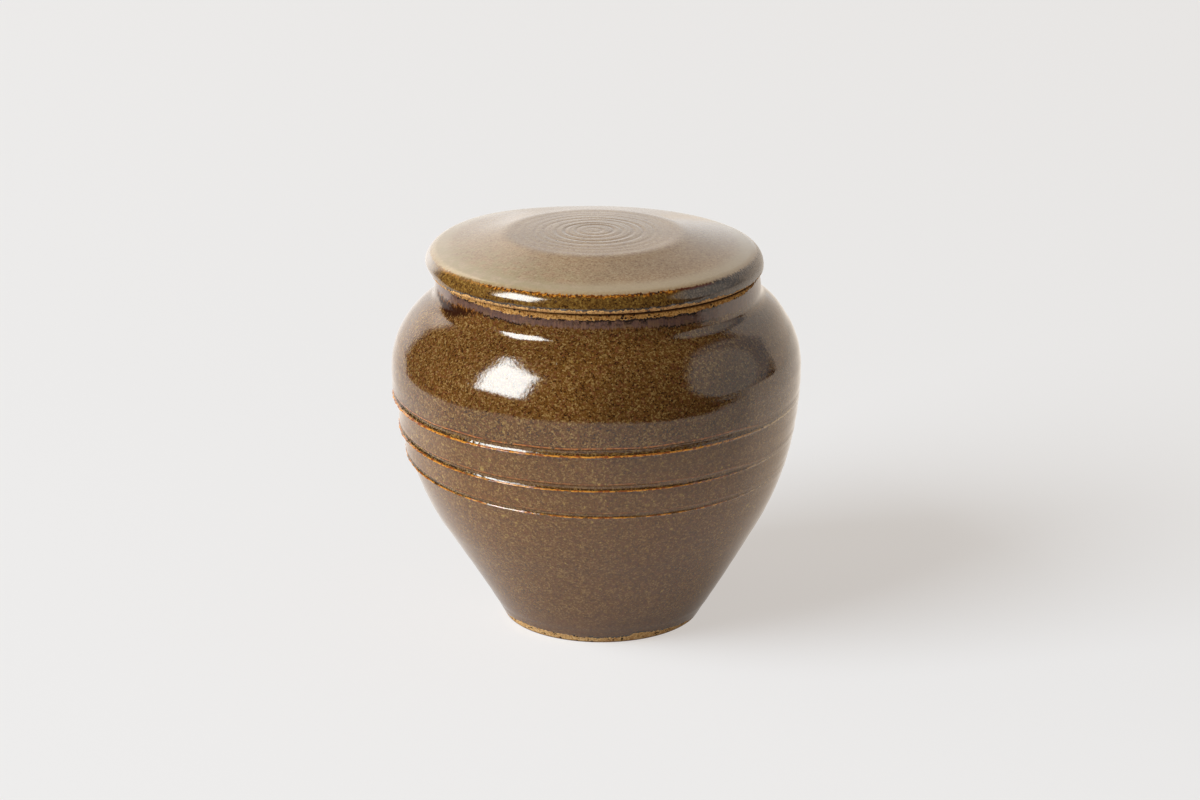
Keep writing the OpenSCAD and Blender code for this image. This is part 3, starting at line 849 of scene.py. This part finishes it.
def lid_material():
    s = Shader("khaki_glaze")
    around = s.around
    run = s.mark("edge_run")
    streak = s.streaks(0.8, run, 12)
    patch = s.noise(1.3, detail=2, offset=0.4)
    top = speckled(s, KHAKI, KHAKI_DARK, (0.45, 0.32, 0.17, 1), 0.7)
    top = s.mix(s.times(s.step(run, -3.0, -0.5), s.flip(s.step(run, 1.5, 6.0)), 0.7), top, KHAKI_PALE)
    left_front = s.times(s.bell(around, -50.0, 75.0), s.bell(run, 5.0, 20.0))
    top = s.mix(s.times(left_front, s.step(s.noise(3.0, detail=3, offset=0.27), 0.35, 0.6), 0.65), top, KHAKI_GREEN)
    thrown = s.mark("thrown")
    top = s.mix(s.step(thrown, -0.3, -1.0, 0.0, 0.30), top, KHAKI_DARK)
    top = s.mix(s.step(thrown, 0.1, 0.6, 0.0, 0.25), top, KHAKI_PALE)
    # Painted shade: the lid's slope is darker over the front and front right
    shaded = s.times(s.window(run, 8.0, 23.0, 5.0), s.step(around, -75.0, -20.0), s.flip(s.step(around, 75.0, 125.0)))
    top = s.shade(top, s.step(shaded, 0.0, 1.0, 1.0, 0.93))
    # Painted shade: the crown is darker all round
    top = s.shade(top, s.step(run, 18.0, 31.0, 1.0, 0.93))
    band = speckled(s, (0.130, 0.058, 0.010, 1), DEEP, (0.25, 0.14, 0.030, 1), 0.9)
    band = s.mix(s.times(s.step(streak, 0.46, 0.6), 0.25), band, DEEP)
    dark_side = s.step(around, 27.0, 33.0)
    _, mottle, _ = s.cells(0.46, 0.93)
    dark_glaze = s.mix(s.step(mottle, 0.5, 0.95), (0.045, 0.026, 0.016, 1), (0.16, 0.105, 0.07, 1))
    band = s.mix(s.times(dark_side, 0.85), band, dark_glaze)
    # Painted reflection: the band turns pale grey towards the left
    band = s.mix(s.step(around, -61.0, -86.0, 0.0, 0.7), band, (0.48, 0.41, 0.35, 1))
    wave = s.add(run, s.step(streak, 0.3, 0.7, -0.3, 0.3), s.step(patch, 0.3, 0.7, -0.2, 0.2))
    colour = s.mix(s.step(wave, RUST_RUN - 0.3, RUST_RUN + 0.3), band, top)
    # The glaze breaks to orange, dark red and, at the right, a blistered black run
    visible = s.times(s.step(around, -75.0, -64.0), s.flip(s.step(around, 27.0, 30.0)))
    rust = s.times(s.window(wave, RUST_RUN - 0.75, RUST_RUN + 0.3, 0.25), visible)
    _, speck, _ = s.cells(0.6, 0.53)
    orange = s.mix(s.step(speck, 0.35, 0.8), (0.11, 0.026, 0.004, 1), (0.44, 0.16, 0.015, 1))
    orange = s.mix(s.step(around, -36.0, -46.0, 0.0, 0.5), orange, OLIVE)
    dotted = s.step(s.noise(1.0, detail=1, offset=0.19), 0.53, 0.60)
    orange = s.mix(s.times(dotted, s.step(around, -48.0, -38.0, 0.2, 0.85)), orange, INK)
    colour = s.mix(rust, colour, orange)
    red = s.times(s.window(around, 29.0, 44.0, 1.5), s.window(wave, RUST_RUN - 0.55, RUST_RUN + 0.15, 0.25))
    colour = s.mix(s.times(red, 0.9), colour, (0.085, 0.012, 0.006, 1))
    blister = s.times(s.step(around, 41.0, 50.0), s.flip(s.step(around, 70.0, 92.0)), 0.9)
    blister = s.times(blister, s.window(wave, RUST_RUN - 1.0, RUST_RUN + 0.5, 0.5))
    colour = s.mix(s.times(blister, s.step(mottle, 0.9, 0.5, 0.1, 1.0)), colour, (0.024, 0.013, 0.010, 1))
    bare, reach = clay_mask(s)
    # A dark glaze line above the lid's bare clay, with a painted reflection in grey patches
    thick = s.times(s.window(reach, -0.5, 0.0, 0.12), s.flip(s.step(around, -50.0, -70.0)))
    dark_edge_and_sheen = s.mix(s.step(s.noise(3.0, detail=2, offset=0.83), 0.56, 0.66), (0.022, 0.018, 0.016, 1), (0.12, 0.12, 0.125, 1))
    colour = s.mix(s.times(thick, 0.85), colour, dark_edge_and_sheen)
    pits = s.spots(11.0, 0.5, 0.3, offset=0.21)
    colour = s.mix(pits, colour, INK)
    colour = s.mix(bare, colour, clay_colour(s, TOAST, TOAST_PALE))
    rough = s.add(s.step(s.noise(1.3, offset=0.2), 0.3, 0.7, 0.08, 0.14), s.times(bare, 0.7))
    rough = s.add(rough, s.times(s.step(around, 38.0, 60.0), s.flip(s.step(run, -2.5, -1.0)), 0.16))
    peel = s.times(s.noise(1.7, detail=1, offset=0.9), 0.018)
    fine = s.times(s.noise(0.55, detail=2, rough=0.7, offset=0.44), 0.013)
    relief = s.add(peel, fine, s.times(pits, -0.08), s.times(blister, s.noise(0.6, detail=1), 0.15))
    relief = s.add(relief, s.times(bare, s.noise(0.35, detail=2), 0.05), s.times(bare, -0.1))
    return s.finish(colour, rough, relief)


# Floor, lights and camera

PALE = (0.86, 0.852, 0.838, 1)
FLOOR_HALF = 3.0
# Share of the table's brightness that it gives off as its own glow, which its shadows keep, and the glow's warmer tint
TABLE_GLOW = 0.64
TABLE_TINT = (0.865, 0.817, 0.774, 1)
TABLE_IN_GLAZE = (0.885, 0.80, 0.715, 1)
TABLE_IN_GLAZE_RIGHT = (0.93, 0.78, 0.62, 1)
# The white table ends in front of the jar, and the room beyond it is dark in the glaze
TABLE_FRONT_Y = -0.563
TABLE_LEFT_SLOPE = -0.42
TABLE_RIGHT_SLOPE = 0.975
TABLE_RIGHT_END = 0.354
# Its left edge, which slants away from the jar behind it
TABLE_LEFT_END = 0.46
TABLE_SIDE_SLOPE = 0.85
DARK = (0.03, 0.028, 0.026, 1)
KEY_AZIMUTH, KEY_ELEVATION = -61.5, 34.0
KEY_DISTANCE, KEY_WIDTH, KEY_HEIGHT = 6.0, 36.0, 38.0
KEY_LIGHT, KEY_GLINT = 11.3, 16.2
# Width over which the softbox's face grows dim at its sides, as the sine of an angle
GLINT_EDGE = 0.08
# Corners of the softbox as the glaze shows it
GLINT_CORNERS = ((-73.1, 14.6), (-81.6, 53.9), (-35.9, 43.7), (-40.8, 13.3))
GLINT_DISTANCE = 5.5
CARD = (0.40, 0.44, 0.47, 1)
CARD_MIDDLE = (0.80, 0.81, 0.77, 1)
# What the room and the card add to the soft light
ROOM = (0.10, 0.095, 0.088, 1)
CARD_LIGHT = (0.25, 0.25, 0.245, 1)
SIDE_LIGHT = (1.5, 1.4, 1.25, 1)
# The wall behind, as the glaze shows it: brighter towards the left and the table
WALL_LOW, WALL_HIGH = (1.27, 1.25, 1.23, 1), (0.46, 0.44, 0.43, 1)
WALL_LEFT, WINDOW = (1.60, 1.47, 1.36, 1), (2.4, 2.15, 1.9, 1)
WALL_RIGHT_LOW, WALL_RIGHT_HIGH = (1.22, 1.03, 0.85, 1), (0.95, 0.86, 0.78, 1)
CAMERA_DISTANCE, CAMERA_ELEVATION = 1.2, 19.03
CAMERA_TARGET = (0.00120, 0.0, 0.0705)
CAMERA_LENS = 113.01


def towards(azimuth, elevation):
    """Unit vector from the jar in a direction."""
    a, e = math.radians(azimuth), math.radians(elevation)
    return Vector((math.sin(a) * math.cos(e), -math.cos(a) * math.cos(e), math.sin(e)))


def staged_quad(name, corners, material):
    mesh = bpy.data.meshes.new(name)
    mesh.from_pydata(corners, [], [(0, 1, 2, 3)])
    quad = bpy.data.objects.new(name, mesh)
    bpy.context.scene.collection.objects.link(quad)
    mesh.materials.append(material)
    return quad


def glowing(s, colour, strength):
    made = s.node("ShaderNodeEmission")
    s.feed(colour, made.inputs["Color"])
    s.feed(strength, made.inputs["Strength"])
    return made.outputs[0]


def make_floor():
    s = Shader("white_table")
    right = s.math("MINIMUM", s.times(s.x, TABLE_RIGHT_SLOPE), TABLE_RIGHT_END)
    edge_y = s.add(s.math("MAXIMUM", s.times(s.x, TABLE_LEFT_SLOPE), right), TABLE_FRONT_Y)
    aside = s.add(s.x, s.times(s.math("MAXIMUM", s.less(s.y, 0.25), 0.0), TABLE_SIDE_SLOPE), TABLE_LEFT_END)
    off_table = s.math("MAXIMUM", s.step(s.less(edge_y, s.y), -0.02, 0.05), s.step(aside, 0.03, -0.03))
    glossy = s.node("ShaderNodeLightPath").outputs["Is Glossy Ray"]
    dark = s.times(off_table, glossy)
    s.finish(s.mix(dark, PALE, DARK), 0.9, s.times(s.noise(2.0, detail=3), 0.01))
    s.surface.inputs["Specular IOR Level"].default_value = 0.0
    blend = s.node("ShaderNodeMixShader")
    blend.inputs[0].default_value = TABLE_GLOW
    s.tree.links.new(s.surface.outputs[0], blend.inputs[1])
    # Painted reflection: the table glows brighter for glossy rays beside and behind the jar. Painted shade: for every
    # ray but the camera's it glows less close under the jar
    behind = s.step(s.y, -0.06, 0.02)
    sideways = s.step(s.math("ABSOLUTE", s.x), 0.03, 0.15)
    beside = s.times(sideways, s.step(s.x, -0.05, 0.05, 0.60, 0.42))
    boost = s.times(glossy, behind, s.add(beside, 0.15))
    close = s.math("SQRT", s.add(s.times(s.x, s.x), s.times(s.y, s.y)))
    unseen = s.flip(s.node("ShaderNodeLightPath").outputs["Is Camera Ray"])
    shade = s.add(s.step(close, 0.085, 0.035, 0.0, -0.4), s.times(s.step(s.x, 0.0, 0.05), s.step(close, 0.13, 0.06, 0.0, -0.18)))
    glow = s.add(1.0, boost, s.times(unseen, shade), s.step(s.y, 0.1, 1.2, 0.0, 0.05))
    tint = s.mix(glossy, TABLE_TINT, s.mix(s.step(s.x, 0.03, 0.16), TABLE_IN_GLAZE, TABLE_IN_GLAZE_RIGHT))
    s.tree.links.new(glowing(s, s.mix(dark, tint, DARK), glow), blend.inputs[2])
    s.tree.links.new(blend.outputs[0], s.tree.nodes["Material Output"].inputs["Surface"])
    h = FLOOR_HALF
    staged_quad("floor", [(-h, -h, 0), (h, -h, 0), (h, h, 0), (-h, h, 0)], s.material)


def make_world():
    world = bpy.data.worlds.new("studio")
    bpy.context.scene.world = world
    world.use_nodes = True
    tree = world.node_tree
    tree.nodes.clear()

    def node(kind, **settings):
        made = tree.nodes.new(kind)
        for key, value in settings.items():
            setattr(made, key, value)
        return made

    def facing(direction, low, high):
        """1 where a ray goes within an angle of direction: fully inside high, not at all outside low."""
        dot = node("ShaderNodeVectorMath", operation="DOT_PRODUCT")
        tree.links.new(ray, dot.inputs[0])
        dot.inputs[1].default_value = direction
        mapped = node("ShaderNodeMapRange", interpolation_type="SMOOTHSTEP")
        tree.links.new(dot.outputs["Value"], mapped.inputs[0])
        mapped.inputs[1].default_value, mapped.inputs[2].default_value = low, high
        return mapped.outputs[0]

    def blend(share, a, b):
        made = node("ShaderNodeMix", data_type="RGBA")
        tree.links.new(share, made.inputs[0])
        for item, socket in ((a, made.inputs[6]), (b, made.inputs[7])):
            if isinstance(item, tuple):
                socket.default_value = item
            else:
                tree.links.new(item, socket)
        return made.outputs[2]

    ray = node("ShaderNodeTexCoord").outputs["Generated"]
    paths = node("ShaderNodeLightPath").outputs
    backdrop = facing(towards(171, 6), 0.559, 0.643)
    card = facing(towards(93, 24), 0.87, 0.90)
    height = node("ShaderNodeSeparateXYZ")
    tree.links.new(ray, height.inputs[0])
    raised = node("ShaderNodeMapRange", interpolation_type="SMOOTHSTEP")
    tree.links.new(height.outputs[2], raised.inputs[0])
    raised.inputs[1].default_value, raised.inputs[2].default_value = 0.0, 0.72
    middle = blend(raised.outputs[0], WALL_LOW, WALL_HIGH)
    right = blend(raised.outputs[0], WALL_RIGHT_LOW, WALL_RIGHT_HIGH)
    wall = blend(facing(towards(-148, 22), 0.88, 0.98), middle, WALL_LEFT)
    wall = blend(facing(towards(-146, 34), 0.96, 0.99), wall, WINDOW)
    wall = blend(facing(towards(133, 12), 0.78, 0.92), wall, right)
    mirrored = blend(card, blend(backdrop, DARK, wall), CARD)
    mirrored = blend(facing(towards(82, 22), 0.90, 0.93), mirrored, CARD_MIDDLE)
    soft = blend(card, ROOM, CARD_LIGHT)
    soft = blend(facing(towards(-100, 8), 0.84, 0.92), soft, SIDE_LIGHT)
    seen = blend(paths["Is Glossy Ray"], soft, mirrored)
    seen = blend(paths["Is Transmission Ray"], seen, mirrored)
    seen = blend(paths["Is Camera Ray"], seen, PALE)
    background = node("ShaderNodeBackground")
    tree.links.new(seen, background.inputs["Color"])
    background.inputs["Strength"].default_value = 1.0
    tree.links.new(background.outputs[0], node("ShaderNodeOutputWorld").inputs[0])


def make_key():
    """A softbox at the left. Its lamp lights the scene, and its glowing face only shows in the glaze."""
    lamp = bpy.data.lights.new("key_softbox", "AREA")
    lamp.shape = "RECTANGLE"
    lamp.size = 2 * KEY_DISTANCE * math.tan(math.radians(KEY_WIDTH / 2))
    lamp.size_y = 2 * KEY_DISTANCE * math.tan(math.radians(KEY_HEIGHT / 2))
    lamp.energy = KEY_LIGHT * math.pi * lamp.size * lamp.size_y
    lamp.color = (0.94, 1.05, 1.17)
    key = bpy.data.objects.new("key_softbox", lamp)
    bpy.context.scene.collection.objects.link(key)
    away = towards(KEY_AZIMUTH, KEY_ELEVATION)
    key.location = away * KEY_DISTANCE
    key.rotation_euler = away.to_track_quat("Z", "Y").to_euler()
    key.visible_camera = key.visible_glossy = key.visible_transmission = False

    corners = [towards(*corner) * GLINT_DISTANCE for corner in GLINT_CORNERS]
    s = Shader("softbox_face")
    share = 1.0
    for corner, following in zip(corners, corners[1:] + corners[:1]):
        inward = following.cross(corner).normalized()
        share = s.math("MINIMUM", share, s.away(inward, GLINT_DISTANCE))
    strength = s.step(share, 0.0, GLINT_EDGE, 0.0, KEY_GLINT)
    s.tree.links.new(glowing(s, (0.955, 1.0, 0.99, 1), strength), s.tree.nodes["Material Output"].inputs["Surface"])
    face = staged_quad("softbox_face", corners, s.material)
    face.visible_camera = face.visible_diffuse = face.visible_shadow = False


def make_camera():
    camera = bpy.data.objects.new("camera", bpy.data.cameras.new("camera"))
    bpy.context.scene.collection.objects.link(camera)
    elevation = math.radians(CAMERA_ELEVATION)
    back = Vector((0, -math.cos(elevation), math.sin(elevation)))
    camera.location = Vector(CAMERA_TARGET) + back * CAMERA_DISTANCE
    camera.rotation_euler = (math.radians(90 - CAMERA_ELEVATION), 0, 0)
    camera.data.lens = CAMERA_LENS
    camera.data.sensor_width = 36.0
    camera.data.clip_start, camera.data.clip_end = 0.05, 50.0
    bpy.context.scene.camera = camera


jar = make_jar()
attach(jar, "jar")
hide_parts("jar")
jar.data.materials.append(jar_material())

lid = make_lid()
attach(lid, "lid")
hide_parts("lid")
lid.data.materials.append(lid_material())

make_floor()
make_world()
make_key()
make_camera()
bpy.context.scene.view_settings.view_transform = "Standard"
